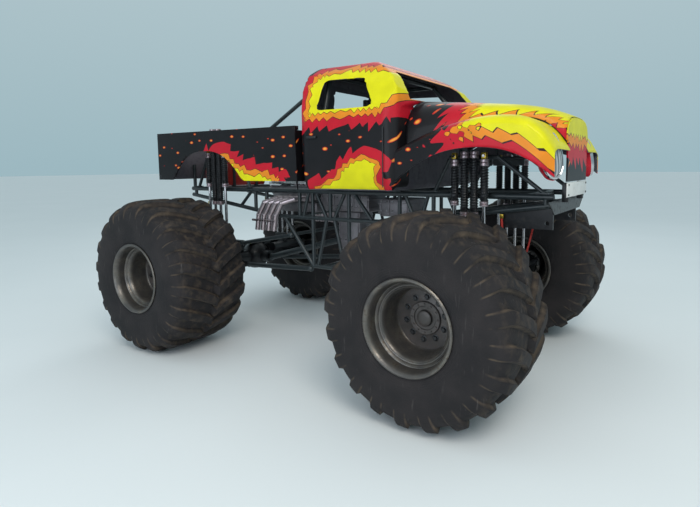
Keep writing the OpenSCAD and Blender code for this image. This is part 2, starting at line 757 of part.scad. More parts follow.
mirror([0, 1, 0]) bed_side_right();  // bed_side_left
bed_side_right();
tailgate();
bed_front_wall();
fuel_cell();
seat();
steering_wheel();
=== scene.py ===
"""Looks of a monster truck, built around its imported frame. Metres, +X forward, +Y left, +Z up."""

import math

import bmesh
import bpy
import numpy as np
from mathutils import Matrix, Vector


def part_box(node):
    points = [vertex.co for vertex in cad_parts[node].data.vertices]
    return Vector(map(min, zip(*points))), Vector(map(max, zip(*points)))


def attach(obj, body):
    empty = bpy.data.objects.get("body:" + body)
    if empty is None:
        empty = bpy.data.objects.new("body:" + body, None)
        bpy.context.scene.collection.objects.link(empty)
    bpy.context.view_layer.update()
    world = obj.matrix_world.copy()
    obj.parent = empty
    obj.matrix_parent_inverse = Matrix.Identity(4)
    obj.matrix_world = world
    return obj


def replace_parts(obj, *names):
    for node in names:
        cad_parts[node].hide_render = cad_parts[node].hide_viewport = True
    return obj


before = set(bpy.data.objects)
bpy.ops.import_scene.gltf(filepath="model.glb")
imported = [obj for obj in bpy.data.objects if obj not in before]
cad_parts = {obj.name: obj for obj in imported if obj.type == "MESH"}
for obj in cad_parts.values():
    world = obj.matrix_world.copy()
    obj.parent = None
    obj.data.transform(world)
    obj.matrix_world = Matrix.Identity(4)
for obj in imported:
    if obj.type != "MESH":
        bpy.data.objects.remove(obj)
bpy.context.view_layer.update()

MM = 0.001
ENDS = {"front": 1, "rear": -1}
SIDES = {"left": 1, "right": -1}
UP = (0, 0, 1)


# ------------------------------------------------------------ small helpers


def linear(hex_colour):
    """An sRGB hex value as linear RGBA."""
    parts = [int(hex_colour[i : i + 2], 16) / 255 for i in (1, 3, 5)]
    return (*[c / 12.92 if c <= 0.04045 else ((c + 0.055) / 1.055) ** 2.4 for c in parts], 1)


def node(tree, kind, inputs=(), output=0, **settings):
    """Adds a shader node and gives one output. Each input is a value, or a socket that is linked to it."""
    made = tree.nodes.new("ShaderNode" + kind)
    for name, value in settings.items():
        setattr(made, name, value)
    for name, value in inputs.items() if isinstance(inputs, dict) else enumerate(inputs):
        if isinstance(value, bpy.types.NodeSocket):
            tree.links.new(value, made.inputs[name])
        else:
            made.inputs[name].default_value = value
    return made.outputs[output]


def circle(count, radius, start=0.0):
    """Pairs round a circle; start is a share of one step."""
    for i in range(count):
        angle = 2 * math.pi * (i + start) / count
        yield radius * math.cos(angle), radius * math.sin(angle)


def blotches(tree, size_mm, detail=4.0, stretch=None):
    """A height of 0 to 1 in soft blotches about size_mm across, which stay with the piece."""
    at = node(tree, "TexCoord", output="Object")
    if stretch:
        at = node(tree, "Mapping", {"Vector": at, "Scale": stretch})
    return node(tree, "TexNoise", {"Vector": at, "Scale": 1000 / size_mm, "Detail": detail})


def finish_of(name, colour, metallic=0.0, roughness=0.5, **sockets):
    """A new material with its plain values set on the shader's own sockets."""
    made = bpy.data.materials.new(name)
    made.use_nodes = True
    tree = made.node_tree
    shader = tree.nodes["Principled BSDF"]
    shader.inputs["Base Color"].default_value = linear(colour)
    shader.inputs["Metallic"].default_value = metallic
    shader.inputs["Roughness"].default_value = roughness
    for socket, value in sockets.items():
        shader.inputs[socket.replace("_", " ")].default_value = value
    return made, tree, shader


def relief(tree, shader, height, depth_mm, strength=1.0):
    """Bump of depth_mm from a height of 0 to 1."""
    bump = node(tree, "Bump", {"Height": height, "Distance": depth_mm * MM, "Strength": strength})
    tree.links.new(bump, shader.inputs["Normal"])


def worn(name, colours, size_mm, rough, metallic=0.0, relief_mm=0.3, **sockets):
    """A finish with two blotch colours over its base, and roughness that follows them."""
    base, second, third = (linear(colour) for colour in colours.split())
    made, tree, shader = finish_of(name, colours.split()[0], metallic, rough[0], **sockets)
    wide = node(tree, "MapRange", (blotches(tree, size_mm), 0.42, 0.68))
    fine = node(tree, "MapRange", (blotches(tree, size_mm / 6, 6.0), 0.5, 0.72))
    both = node(tree, "Math", (wide, fine), operation="MULTIPLY")
    paint = node(tree, "Mix", {0: wide, 6: base, 7: second}, 2, data_type="RGBA")
    paint = node(tree, "Mix", {0: both, 6: paint, 7: third}, 2, data_type="RGBA")
    tree.links.new(paint, shader.inputs["Base Color"])
    tree.links.new(node(tree, "MapRange", (fine, 0, 1, *rough)), shader.inputs["Roughness"])
    relief(tree, shader, blotches(tree, size_mm / 5, 3.0), relief_mm)
    return made


def shown(name, data, body, slot, *finishes, smooth_angle=35):
    """Puts a finished mesh in the scene."""
    for finish in finishes:
        data.materials.append(finish)
    data.shade_smooth()
    if smooth_angle:
        data.set_sharp_from_angle(angle=math.radians(smooth_angle))
    piece = bpy.data.objects.new(name, data)
    bpy.context.scene.collection.objects.link(piece)
    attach(piece, body)
    return piece


class Kit:
    """Points and faces of one joined mesh, added shape by shape."""

    def __init__(self):
        self.points, self.faces, self.finish = [], [], []

    def add(self, points, faces, finish=0):
        start = len(self.points)
        self.points += [tuple(p) for p in points]
        self.faces += [tuple(start + i for i in f) for f in faces]
        self.finish += [finish] * len(faces)

    def turned(self, profile, origin, axis, steps=32, finish=0):
        """Profile of (radius, distance along axis), turned about the axis. Ends at radius 0 are closed."""
        turn = Vector(UP).rotation_difference(Vector(axis)).to_matrix()
        rings, points, faces = [], [], []
        for radius, along in profile:
            if radius < 1e-6:
                rings.append([len(points)] * steps)
                points.append(Vector(origin) + turn @ Vector((0, 0, along)))
                continue
            rings.append(list(range(len(points), len(points) + steps)))
            points += [Vector(origin) + turn @ Vector((*pair, along)) for pair in circle(steps, radius)]
        for low, high in zip(rings, rings[1:]):
            for i in range(steps):
                j = (i + 1) % steps
                face = []
                for k in (low[i], low[j], high[j], high[i]):
                    if k not in face:
                        face.append(k)
                if len(face) > 2:
                    faces.append(face)
        self.add(points, faces, finish)

    def block(self, low, high, bevel=0.004, finish=0, turn=None, about=None):
        """A box with bevelled edges."""
        low, high = Vector(low), Vector(high)
        made = bmesh.new()
        bmesh.ops.create_cube(made, size=1)
        for v in made.verts:
            v.co = Vector([(low[i] + high[i]) / 2 + v.co[i] * (high[i] - low[i]) for i in range(3)])
        bmesh.ops.bevel(made, geom=made.edges[:], offset=bevel, segments=2, affect="EDGES", profile=0.5)
        if turn:
            centre = Vector(about) if about else (low + high) / 2
            for v in made.verts:
                v.co = centre + turn @ (v.co - centre)
        self.add([v.co[:] for v in made.verts], [[v.index for v in f.verts] for f in made.faces], finish)
        made.free()

    def tube(self, path, radius, steps=10, finish=0, closed=False):
        """A round tube along a path, with flat ends."""
        path = [Vector(p) for p in path]
        count = len(path)
        side = None
        points, faces = [], []
        for i, p in enumerate(path):
            before = path[i - 1] if i or closed else p
            after = path[(i + 1) % count] if i < count - 1 or closed else p
            along = (after - before).normalized()
            if side is None:
                side = along.orthogonal().normalized()
            side = (side - along * side.dot(along)).normalized()
            other = along.cross(side)
            for k in range(steps):
                a = 2 * math.pi * k / steps
                points.append(p + radius * (math.cos(a) * side + math.sin(a) * other))
        for i in range(count if closed else count - 1):
            for k in range(steps):
                a, b = i * steps, (i + 1) % count * steps
                faces.append((a + k, a + (k + 1) % steps, b + (k + 1) % steps, b + k))
        if not closed:
            faces.append(tuple(reversed(range(steps))))
            faces.append(tuple(range((count - 1) * steps, count * steps)))
        self.add(points, faces, finish)

    def hexagon(self, origin, axis, across, height, finish=0):
        """A hexagon bolt head with a chamfered top."""
        corner = across / 2 / math.cos(math.pi / 6)
        profile = [(0, 0), (corner, 0), (corner, height * 0.75), (corner * 0.82, height), (0, height)]
        self.turned(profile, origin, axis, 6, finish)

    def ribbon(self, path, half_x, half_y, overlap, bevel):
        """A flat band along a path, as one straight bar from point to point."""
        for p, q in zip(path, path[1:]):
            a, b = Vector(p), Vector(q)
            turn = Vector(UP).rotation_difference((b - a).normalized()).to_matrix()
            reach = Vector((half_x, half_y, (b - a).length / 2 + overlap))
            self.block((a + b) / 2 - reach, (a + b) / 2 + reach, bevel, 0, turn)

    def make(self, name, body, slot, *finishes, smooth_angle=35):
        data = bpy.data.meshes.new(name)
        data.from_pydata(self.points, [], self.faces)
        piece = shown(name, data, body, slot, *finishes, smooth_angle=smooth_angle)
        data.polygons.foreach_set("material_index", self.finish)
        work = bmesh.new()
        work.from_mesh(data)
        bmesh.ops.recalc_face_normals(work, faces=work.faces[:])
        work.to_mesh(data)
        work.free()
        return piece


def set_floats(data, **fields):
    """Stores named values for each point of a mesh."""
    for name, values in fields.items():
        data.attributes.new(name, "FLOAT", "POINT").data.foreach_set("value", np.asarray(values, np.float32))


def spline(points, per_step):
    """A smooth line through a list of points, as Catmull and Rom draw it."""
    points = [np.array(p, float) for p in points]
    ends = [2 * points[0] - points[1], *points, 2 * points[-1] - points[-2]]
    made = []
    for a, b, c, d in zip(ends, ends[1:], ends[2:], ends[3:]):
        for k in range(per_step):
            t = k / per_step
            square, cube = 2 * a - 5 * b + 4 * c - d, 3 * b - a - 3 * c + d
            made.append(0.5 * (2 * b + (c - a) * t + square * t * t + cube * t**3))
    made.append(points[-1])
    return made


# ------------------------------------------------------------ finishes


# Flame bands from the edge in: colour, depth, then spacing, height, lean and phase of the teeth, in metres
FLAME_BANDS = (
    ("#c4172b", 0.0, 0.16, 0.10, 0.9, 0.0),
    ("#e88b22", 0.08, 0.12, 0.05, 0.2, 0.03),
    ("#e3dc0e", 0.135, 0.09, 0.045, 0.0, 0.06),
)
BAND_EDGE = "#33161a"
HALF_EDGE = 0.003
SPARK_CELLS_PER_METRE = 10.0


def body_enamel():
    """Two-pack enamel, sprayed in flames under a thin clear coat: strong colour with a low, even sheen."""
    made, tree, shader = finish_of(
        "sprayed_two_pack_enamel", "#17161a", 0, 0.45,
        Specular_IOR_Level=0.18, Coat_Weight=0.12, Coat_Roughness=0.1,
    )
    depth = node(tree, "Attribute", output="Fac", attribute_name="flame_depth")
    run = node(tree, "Attribute", output="Fac", attribute_name="flame_run")
    drift = node(tree, "TexNoise", {"W": run, "Scale": 2.0, "Detail": 0.0}, noise_dimensions="1D")

    def teeth(spacing, height, lean, phase):
        """Depth with straight teeth along the flame's edge, each of its own height; lean tilts them."""
        leaned = node(tree, "Math", (depth, lean, run), operation="MULTIPLY_ADD")
        drifted = node(tree, "Math", (drift, spacing * 3, leaned), operation="MULTIPLY_ADD")
        shifted = node(tree, "Math", (drifted, phase), operation="ADD")
        tooth = node(tree, "Math", (shifted, spacing), operation="DIVIDE")
        tooth = node(tree, "Math", (tooth,), operation="FLOOR")
        luck = node(tree, "TexWhiteNoise", {"W": tooth}, noise_dimensions="1D")
        tall = node(tree, "MapRange", (luck, 0.0, 1.0, 0.8 * height / spacing, 2.0 * height / spacing))
        saw = node(tree, "Math", (shifted, spacing / 2), operation="PINGPONG")
        return node(tree, "Math", (saw, tall, depth), operation="MULTIPLY_ADD")

    # Sparks lie on the body unrolled to a plane, in cells that a slanted stretch makes into short dashes
    x, y, z = node(tree, "SeparateXYZ", (node(tree, "TexCoord", output="Object"),)).node.outputs
    across = node(tree, "Math", (y,), operation="ABSOLUTE")
    folded = node(tree, "Math", (across, 0.9, z), operation="MULTIPLY_ADD")
    ahead = node(tree, "Math", (across, 0.8, x), operation="MULTIPLY_ADD")
    unrolled = node(tree, "CombineXYZ", (ahead, folded))
    slanted = {"Vector": unrolled, "Rotation": (0, 0, -0.5), "Scale": (0.62, 1.15, 1)}
    cells = {"Vector": node(tree, "Mapping", slanted), "Scale": SPARK_CELLS_PER_METRE, "Randomness": 0.9}
    away = node(tree, "TexVoronoi", cells, "Distance", voronoi_dimensions="2D")
    luck = node(tree, "SeparateColor", (away.node.outputs["Color"],))
    size = node(tree, "MapRange", (luck, 0.3, 1.0, 0.0, 0.23))
    inside = node(tree, "Math", (size, away), operation="SUBTRACT")

    def patchy(low, high, size_mm, start, end):
        """One colour that turns into another in soft blotches."""
        share = node(tree, "MapRange", (blotches(tree, size_mm), start, end))
        return node(tree, "Mix", {0: share, 6: low, 7: high}, 2, data_type="RGBA")

    def over(field, start, below, above):
        """The colour above where the field is past start, and the one below elsewhere."""
        past = node(tree, "Math", (field, start), operation="GREATER_THAN")
        return node(tree, "Mix", {0: past, 6: below, 7: above}, 2, data_type="RGBA")

    hot = node(tree, "MapRange", (inside, 0.03, 0.12))
    spark = node(tree, "Mix", {0: hot, 6: linear("#b3231d"), 7: linear("#f0a040")}, 2, data_type="RGBA")
    colours = over(inside, 0.0, patchy(linear("#121114"), linear("#19171b"), 300, 0.35, 0.7), spark)
    for paint, start, *saw in FLAME_BANDS:
        field = teeth(*saw)
        shaded = patchy(linear(paint), [c * 0.86 for c in linear(paint)], 160, 0.35, 0.7)
        colours = over(field, start - HALF_EDGE, colours, linear(BAND_EDGE))
        colours = over(field, start + HALF_EDGE, colours, shaded)
    tree.links.new(colours, shader.inputs["Base Color"])
    relief(tree, shader, blotches(tree, 9, 2.0), 0.15, 0.5)
    return made


RING_MM = 9


def tyre_rubber():
    """Vulcanised rubber, scuffed and caked with dried clay: dull black with brown dust on the tread, and
    brown on every lug flank that is clay dust and also a painted highlight on the lugs' edges.
    """
    made, tree, shader = finish_of("vulcanised_rubber", "#232122", 0, 0.85, Specular_IOR_Level=0.35)
    radius = node(tree, "Attribute", output="Fac", attribute_name="tyre_radius")
    side = node(tree, "Attribute", output="Fac", attribute_name="lug_side")

    def patches(size_mm, detail, start, end, **stretch):
        """0 to 1 in blotches with soft edges."""
        return node(tree, "MapRange", (blotches(tree, size_mm, detail, **stretch), start, end))

    def mottled(low, high, *patch):
        """One colour that turns into another in such blotches."""
        colours = {0: patches(*patch), 6: linear(low), 7: linear(high)}
        return node(tree, "Mix", colours, 2, data_type="RGBA")

    def dust_and_highlight_over(colours, where, patch, share, dust):
        """Colours under a second colour that lies in patches of one place: clay dust and scuffs, and on the
        lug flanks also a painted highlight.
        """
        both = node(tree, "Math", (where, patch), operation="MULTIPLY")
        both = node(tree, "Math", (both, share), operation="MULTIPLY")
        return node(tree, "Mix", {0: both, 6: colours, 7: dust}, 2, data_type="RGBA")

    clay = mottled("#463c33", "#6a5b4b", 120, 6.0, 0.3, 0.75)
    rubber = mottled("#1f1d1f", "#2c2829", 260, 6.0, 0.4, 0.7)
    # Brown on the lug flanks: clay dust, and also a painted highlight along every lug's edges, the same
    # whatever the light
    colours = dust_and_highlight_over(rubber, side, patches(90, 5.0, 0.3, 0.6), 0.95, clay)
    tread = node(tree, "MapRange", (radius, 0.70, 0.80))
    colours = dust_and_highlight_over(colours, tread, patches(70, 6.0, 0.48, 0.75), 0.65, clay)
    scratches = patches(22, 2.0, 0.62, 0.75, stretch=(1.0, 1.0, 0.12))
    colours = dust_and_highlight_over(colours, scratches, patches(200, 4.0, 0.45, 0.65), 0.35, linear("#6a6462"))
    tree.links.new(colours, shader.inputs["Base Color"])
    # Moulded rings on the side wall, one each 18 mm, under a rough skin
    ring = node(tree, "Math", (radius, RING_MM * MM), operation="PINGPONG")
    ring = node(tree, "Math", (ring, RING_MM * MM), operation="DIVIDE")
    walls = node(tree, "Math", (ring, node(tree, "MapRange", (radius, 0.50, 0.44))), operation="MULTIPLY")
    skin = node(tree, "Math", (walls, 0.6, blotches(tree, 14, 8.0)), operation="MULTIPLY_ADD")
    relief(tree, shader, skin, 3.5, 0.8)
    return made


# Each finish: base colour and two blotch colours, blotch size in mm, roughness range, metallic, relief in mm
PAINT = {
    "body": body_enamel(),
    # Grey primer sprayed inside the shells: flat and slightly mottled
    "inside": worn("sprayed_grey_primer", "#55525a #5f5b62 #454249", 240, (0.6, 0.8)),
    # Chassis enamel brushed on welded tube: dull blue green grey, chalky with dust on top
    "frame": worn("chassis_enamel", "#2b3235 #23292c #454c4c", 150, (0.38, 0.62), 0.1, 0.1, Coat_Weight=0.1),
    "rubber": tyre_rubber(),
    # Hot rolled steel with a brown rust bloom: satin grey with warm edges
    "rim": worn("rolled_steel", "#5d5a58 #757069 #55453a", 130, (0.34, 0.55), 0.7, 0.1),
    # Phosphated steel hub faces: dark, nearly matt grey with warm stains
    "disc": worn("phosphated_steel", "#4b4745 #565150 #54443a", 90, (0.4, 0.6), 0.4, 0.1),
    # Black chassis enamel over castings: satin black with brown dust
    "axle": worn("chassis_black_enamel", "#16171a #202226 #33302d", 180, (0.35, 0.6), 0.1),
    # Ground and hard chromed rod: a clean mirror with faint haze
    "rod": worn("hard_chromed_steel", "#b9b6b8 #a5a2a6 #c9c7c8", 60, (0.12, 0.22), 1.0, 0.05),
    # Nickel plated exhaust tube, warm from heat: pale pink silver
    "pipe": worn("nickel_plated_tube", "#b3a5a8 #a0959b #c6b4ac", 110, (0.28, 0.42), 0.9, 0.03),
    # Sand cast aluminium: pale grey with a fine pebbled skin
    "cast": worn("sand_cast_aluminium", "#8d888c #7b767a #a29c9e", 70, (0.45, 0.65), 0.6, 0.15),
    # Powder coated spring wire: even satin black
    "spring": worn("powder_coated_spring_steel", "#1d1d20 #2b2b2f #3a3a3e", 90, (0.32, 0.5), 0.3),
    # Anodised aluminium end caps: satin, slightly pink
    "cap": worn("anodised_aluminium", "#a8979b #968a90 #bdaeb0", 50, (0.28, 0.38), 0.8, 0.02),
    # Yellow passivated zinc plate: pale gold
    "gold": worn("passivated_zinc_plate", "#b39a3c #a07f2e #c8b45a", 30, (0.3, 0.45), 0.8, 0.1),
    # Rotationally moulded polyethylene: waxy red
    "tank": worn("cross_linked_polyethylene", "#8f1f17 #7d1a14 #a63226", 200, (0.3, 0.45)),
    # Injection moulded ABS: even black with a light sheen
    "plastic": worn("moulded_abs", "#17171a #1d1d20 #26262a", 120, (0.4, 0.55)),
    # Painted aluminium sheet: clean off-white
    "plate": worn("rolled_painted_aluminium", "#dcdbd8 #d2d1ce #bdbab5", 200, (0.3, 0.45), 0.0, 0.1),
    # Woven polyester webbing: matt red
    "strap": worn("woven_polyester_webbing", "#b8322a #a52a24 #c9483c", 20, (0.7, 0.85), 0.0, 0.4),
    # Chromed pressed steel: a bright, clear mirror
    "chrome": worn("chromed_pressed_steel", "#c9cacc #bbbcc0 #d5d5d6", 90, (0.06, 0.14), 1.0, 0.05),
}


# ------------------------------------------------------------ tyres

LUGS = 20
# Half widths of a lug's top and foot, and section planes from its middle, as shares of one pitch
LUG_TOP, LUG_FOOT = 0.175, 0.27
LUG_PLANES = (0, 0.08, LUG_TOP, 0.195, 0.25, LUG_FOOT)
LUG_OVERLAP = 0.040
# Half a section of the tyre, from bead to middle: radius, distance from the middle plane, lug height
SECTION = [
    (0.343, 0.385, 0), (0.347, 0.420, 0), (0.372, 0.436, 0), (0.400, 0.449, 0), (0.440, 0.459, 0),
    (0.508, 0.4635, 0), (0.580, 0.4625, 0), (0.640, 0.457, 0.002), (0.690, 0.446, 0.012),
    (0.728, 0.426, 0.030), (0.757, 0.392, 0.044), (0.776, 0.335, 0.050), (0.785, 0.250, 0.050),
    (0.789, 0.130, 0.048), (0.790, 0.045, 0.047),
]
MIDDLE = (0.790, 0.0, 0.046)


def lug_share(u):
    """1 on top of a lug and 0 between lugs; u runs over one pitch."""
    off = abs((u + 0.5) % 1 - 0.5)
    return min(1.0, max(0.0, (LUG_FOOT - off) / (LUG_FOOT - LUG_TOP)))


def tyre(end, side):
    low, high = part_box(f"tyre_{end}_{side}")
    centre = (low + high) / 2
    across = SIDES[side]
    half = spline(SECTION, 2)
    section = half + [np.array(MIDDLE)] + [p * (1, -1, 1) for p in reversed(half)]
    marks = sorted({round(k % 1, 4) for s in (0, 0.5) for m in LUG_PLANES for k in (s + m, s - m)})
    points, radii, flank_dust_and_highlight = [], [], []
    for i in range(LUGS):
        for mark in marks:
            for r, y, tall in section:
                outer = lug_share(mark) * min(1, max(0, (y + LUG_OVERLAP) / 0.030))
                inner = lug_share(mark + 0.5) * min(1, max(0, (LUG_OVERLAP - y) / 0.030))
                share = max(outer, inner)
                up = 1 - 0.5 * min(1, max(0, (abs(y) - 0.33) / 0.12)) ** 1.5
                radius = r + tall * share * up
                out = y + math.copysign(tall * share * (1 - up) * 0.8, y)
                sweep = 0.235 * min(1, abs(y) / 0.38) ** 0.8
                a = (i + mark) * 2 * math.pi / LUGS + sweep
                points.append(centre + Vector((radius * math.cos(a), across * out, radius * math.sin(a))))
                # Share of the lug's flank, where the tyre's finish puts brown clay dust and a painted
                # highlight
                flank_dust_and_highlight.append((1 - abs(2 * share - 1)) * (tall > 0.004))
                radii.append(r)
    rings, count = LUGS * len(marks), len(section)
    faces = []
    for here in range(rings):
        a, b = here * count, (here + 1) % rings * count
        faces += [(a + j, b + j, b + (j + 1) % count, a + (j + 1) % count) for j in range(count)]
    if across > 0:
        faces = [f[::-1] for f in faces]
    data = bpy.data.meshes.new(f"tyre_tread_{end}_{side}")
    data.from_pydata([tuple(p) for p in points], [], faces)
    data.validate()
    piece = shown(data.name, data, f"wheel_{end}_{side}", "tyre_rubber", PAINT["rubber"], smooth_angle=28)
    set_floats(data, tyre_radius=radii, lug_side=flank_dust_and_highlight)
    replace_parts(piece, f"tyre_{end}_{side}")


# ------------------------------------------------------------ wheels

# Rim from the outer bead seat over the lip into the dish: radius, distance outwards from the middle plane
RIM_FACE = [
    (0.343, 0.300), (0.343, 0.404), (0.352, 0.424), (0.368, 0.434), (0.377, 0.444), (0.378, 0.452),
    (0.372, 0.458), (0.362, 0.459), (0.352, 0.453), (0.343, 0.440), (0.334, 0.420), (0.330, 0.398),
    (0.328, 0.352), (0.322, 0.349), (0.317, 0.354), (0.312, 0.350), (0.305, 0.334), (0.297, 0.331),
    (0.291, 0.335), (0.284, 0.330), (0.276, 0.315), (0.270, 0.300), (0.268, 0.285), (0.267, 0.150),
    (0.262, 0.128), (0.255, 0.121),
]
# The first points of the rim's face are mirrored for its inner side, down to the dish
MIRRORED = 21
# Brake drum and back of the dish, from the axle outwards
DRUM = [
    (0, -0.155), (0.120, -0.155), (0.165, -0.150), (0.178, -0.140), (0.184, -0.120), (0.184, 0.050),
    (0.205, 0.060), (0.262, 0.072), (0.268, -0.060), (0.268, -0.285),
]
HUB_FACE = [
    (0.255, 0.112), (0.255, 0.120), (0.250, 0.124), (0.140, 0.124), (0.135, 0.127), (0.133, 0.140),
    (0.128, 0.144), (0.098, 0.144), (0.093, 0.140), (0.092, 0.132), (0.068, 0.132), (0.064, 0.136),
    (0.062, 0.156), (0.054, 0.162), (0.030, 0.165), (0, 0.166),
]
WASHER = [(0, 0.0), (0.026, 0.0), (0.026, 0.004), (0.021, 0.006), (0, 0.006)]
# Rings of bolts: number, start, circle radius, distance outwards, side they face, head size, height, finish
BOLT_RINGS = (
    (10, 0.35, 0.172, 0.128, 1, 0.034, 0.016, 2),
    (12, 0.0, 0.113, 0.143, 1, 0.014, 0.008, 1),
    (16, 0.0, 0.150, -0.154, -1, 0.022, 0.012, 1),
)


def wheel(end, side):
    """Rim, hub and bolts, placed by the tyre's own box."""
    low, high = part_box(f"tyre_{end}_{side}")
    centre = (low + high) / 2
    out = Vector((0, SIDES[side], 0))
    kit = Kit()
    back = [(r, -y) for r, y in reversed(RIM_FACE[:MIRRORED])]
    kit.turned([*DRUM, *back[1:], *RIM_FACE], centre, out, 96, 0)
    kit.turned(HUB_FACE, centre, out, 72, 1)
    for count, start, radius, outwards, facing, across, tall, finish in BOLT_RINGS:
        for x, z in circle(count, radius, start):
            at = centre + Vector((x, SIDES[side] * outwards, z))
            if finish == 2:
                kit.turned(WASHER, at - out * 0.005, out, 20, finish)
            kit.hexagon(at, out * facing, across, tall, finish)
    looks = (PAINT["rim"], PAINT["disc"], PAINT["axle"])
    piece = kit.make(f"rim_face_{end}_{side}", f"wheel_{end}_{side}", "rim_steel", *looks)
    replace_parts(piece, f"rim_{end}_{side}")


for end in ENDS:
    for side in SIDES:
        tyre(end, side)
        wheel(end, side)


# ------------------------------------------------------------ painted body panels


def outline_field(flat, outline):
    """Signed depth inside a closed outline, and the run along it, for points in the same plane."""
    best = np.full(len(flat), 1e9)
    run = np.zeros(len(flat))
    inside = np.zeros(len(flat), bool)
    start = 0.0
    for a, b in zip(outline, outline[1:] + outline[:1]):
        a, b = np.array(a, float), np.array(b, float)
        length = np.linalg.norm(b - a)
        t = np.clip((flat - a) @ (b - a) / length**2, 0, 1)
        away = np.linalg.norm(flat - (a + t[:, None] * (b - a)), axis=1)
        nearer = away < best
        best[nearer] = away[nearer]
        run[nearer] = start + t[nearer] * length
        start += length
        cross = (a[1] > flat[:, 1]) != (b[1] > flat[:, 1])
        with np.errstate(divide="ignore", invalid="ignore"):
            where = (b[0] - a[0]) * (flat[:, 1] - a[1]) / (b[1] - a[1]) + a[0]
        inside ^= cross & (flat[:, 0] < where)
    return np.where(inside, best, -best), run


def deepest(fields):
    """The field of several flames: each point takes the flame it lies deepest in."""
    depth, run = fields[0]
    for other, along in fields[1:]:
        deeper = other > depth
        depth, run = np.where(deeper, other, depth), np.where(deeper, along, run)
    return depth, run


def coordinates(data):
    flat = np.zeros(len(data.vertices) * 3)
    data.vertices.foreach_get("co", flat)
    return flat.reshape(-1, 3)


def skin_of(name, step=0.04, rounds=0, round_levels=0):
    """A finer copy of a panel's own mesh: sliced every step with its corners rounded, or subdivided."""
    work = bmesh.new()
    work.from_mesh(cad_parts[name].data)
    bmesh.ops.remove_doubles(work, verts=work.verts[:], dist=1e-5)
    if round_levels:
        flat, square, sharp = (math.radians(angle) for angle in (40, 60, 50))
        bmesh.ops.join_triangles(
            work, faces=work.faces[:], angle_face_threshold=flat, angle_shape_threshold=square
        )
        crease = work.edges.layers.float.new("crease_edge")
        for edge in work.edges:
            if len(edge.link_faces) == 2 and edge.calc_face_angle() > sharp:
                edge[crease] = 0.9
        data = bpy.data.meshes.new(name)
        work.to_mesh(data)
        work.free()
        carrier = bpy.data.objects.new(name, data)
        bpy.context.scene.collection.objects.link(carrier)
        carrier.modifiers.new("round", "SUBSURF").levels = round_levels
        graph = bpy.context.evaluated_depsgraph_get()
        data = bpy.data.meshes.new_from_object(carrier.evaluated_get(graph))
        bpy.data.objects.remove(carrier)
        return data
    low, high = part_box(name)
    for axis in range(3):
        normal = Vector([float(axis == k) for k in range(3)])
        for k in range(1, int((high[axis] - low[axis]) / step) + 1):
            at = Vector(low) + normal * (k * step)
            whole = work.verts[:] + work.edges[:] + work.faces[:]
            bmesh.ops.bisect_plane(work, geom=whole, plane_co=at, plane_no=normal)
    every_axis = {f"use_axis_{axis}": True for axis in "xyz"}
    for _ in range(rounds):
        bmesh.ops.smooth_vert(work, verts=work.verts[:], factor=0.5, **every_axis)
    data = bpy.data.meshes.new(name)
    work.to_mesh(data)
    work.free()
    return data


def panel(name, data, depth, run, back):
    """A painted panel that stands for its node; faces for which back says so have the inner finish."""
    set_floats(data, flame_depth=depth, flame_run=run)
    data.materials.clear()
    looks = (PAINT["body"], PAINT["inside"])
    piece = shown(f"painted_{name}", data, "chassis", "flame_paint", *looks, smooth_angle=38)
    for face in data.polygons:
        face.material_index = int(bool(back(face.center, face.normal)))
    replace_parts(piece, name)
    return piece


# Flames of the cab, seen from the side: from the roof down to the belt, with a long foot over the cowl
CAB_FLAME = [
    (-0.01, 2.41), (-0.01, 2.84), (0.06, 2.98), (0.20, 3.04), (0.52, 3.06), (0.80, 3.03), (1.40, 2.99),
    (1.40, 2.57), (1.16, 2.565), (1.05, 2.49), (0.95, 2.43),
]
# The burst at the foot of the door
BURST = [
    (0.10, 1.50), (0.10, 1.86), (0.24, 1.90), (0.41, 1.97), (0.48, 2.06), (0.63, 2.14), (0.78, 2.18),
    (0.93, 2.13), (1.01, 2.06), (0.97, 1.98), (0.95, 1.90), (1.04, 1.84), (1.04, 1.50),
]
# Flames of the bed, from the wheel arch to the cab
BED_FLAME = [
    (-1.42, 1.50), (-1.42, 2.19), (-1.30, 2.235), (-1.12, 2.25), (-1.00, 2.20), (-0.88, 2.12), (-0.70, 2.055),
    (-0.50, 2.05), (-0.36, 2.00), (-0.22, 1.95), (-0.20, 1.50),
]
# Height of the seam between hood and fender along the hood
SEAM = ((1.10, 1.40, 1.70, 2.00, 2.20, 2.40, 2.46), (2.19, 2.32, 2.40, 2.435, 2.425, 2.32, 2.25))


def cab():
    data = skin_of("cab_shell", 0.045, rounds=4)
    co = coordinates(data)
    flat = co[:, (0, 2)]
    sides = [outline_field(flat, CAB_FLAME)]
    depth, run = outline_field(flat, BURST)
    sides.append((1.4 * depth, 0.75 * run))
    cowl = (co[:, 0] > 1.06) & (co[:, 2] < 2.44)
    sides = [(np.where(cowl, -0.4, depth), run) for depth, run in sides]
    middle = Vector((0.55, 0, 2.40))

    def unpainted(c, n):
        firewall = n.x > 0.6 and c.z < 2.55 and abs(c.y) < 0.68
        return firewall or n.z < -0.7 or n.dot(Vector((c.x - middle.x, c.y, c.z - middle.z))) < -0.02

    panel("cab_shell", data, *deepest(sides), unpainted)


def hood():
    data = skin_of("hood", round_levels=2)
    co = coordinates(data)
    x, y, z = co.T
    along = 0.5 * (x - 1.50)
    crown = 0.03 + 0.5 * np.abs(y) + 0.9 * np.maximum(x - 2.1, 0)
    seam = 0.08 + 0.8 * (z - np.interp(x, *SEAM)) - 0.25 * np.maximum(x - 2.2, 0)
    depth = np.minimum(np.minimum(along, crown), seam)
    run = x + 0.9 * (np.abs(y) - z)
    panel("hood", data, depth, run, lambda c, n: n.y * c.y + n.z * (c.z - 2.0) < -0.01)


def nose_panel():
    data = skin_of("nose_panel", 0.04)
    co = coordinates(data)
    panel("nose_panel", data, 0.65 * (co[:, 2] - 2.09), co[:, 1] * 0.7, lambda c, n: n.x < -0.5)


